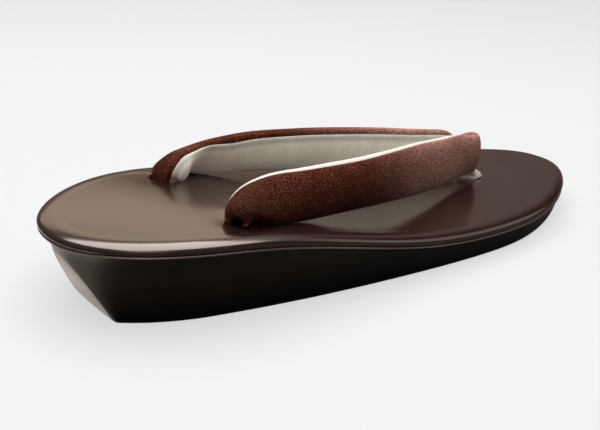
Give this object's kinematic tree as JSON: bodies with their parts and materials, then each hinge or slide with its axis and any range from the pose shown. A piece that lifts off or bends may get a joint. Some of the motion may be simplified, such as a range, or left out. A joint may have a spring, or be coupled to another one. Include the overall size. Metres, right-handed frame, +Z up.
{
  "type": "zori sandal",
  "caption": "Low wedge zori with a rolled-edge padded board, a slant-cut heel and a padded two-band thong strap that rises from side holes to one front hole",
  "frame": {"origin": "on the ground under the middle of the shoe's length and width, where the bounding box's bottom centre is", "axes": "+X runs from heel to toe, +Y to the side of the foot, +Z up; the plane Y = 0 is a mirror plane of the shoe, which has no axis of symmetry"},
  "size_m": [0.24, 0.088, 0.0418],
  "materials": {
    "foam": "dark brown moulded foam, satin",
    "pearl_leather": "pearly brown synthetic leather, glossy",
    "grained_cloth": "fine crepe grain, dark reddish brown, matt",
    "lining_cloth": "cream velvety cloth, matt"
  },
  "bodies": {
    "root": {"sole": "foam", "welt": "pearl_leather", "footbed": "pearl_leather", "strap_outer": "grained_cloth", "strap_lining": "lining_cloth", "front_thong": "lining_cloth"}
  },
  "joints": []
}
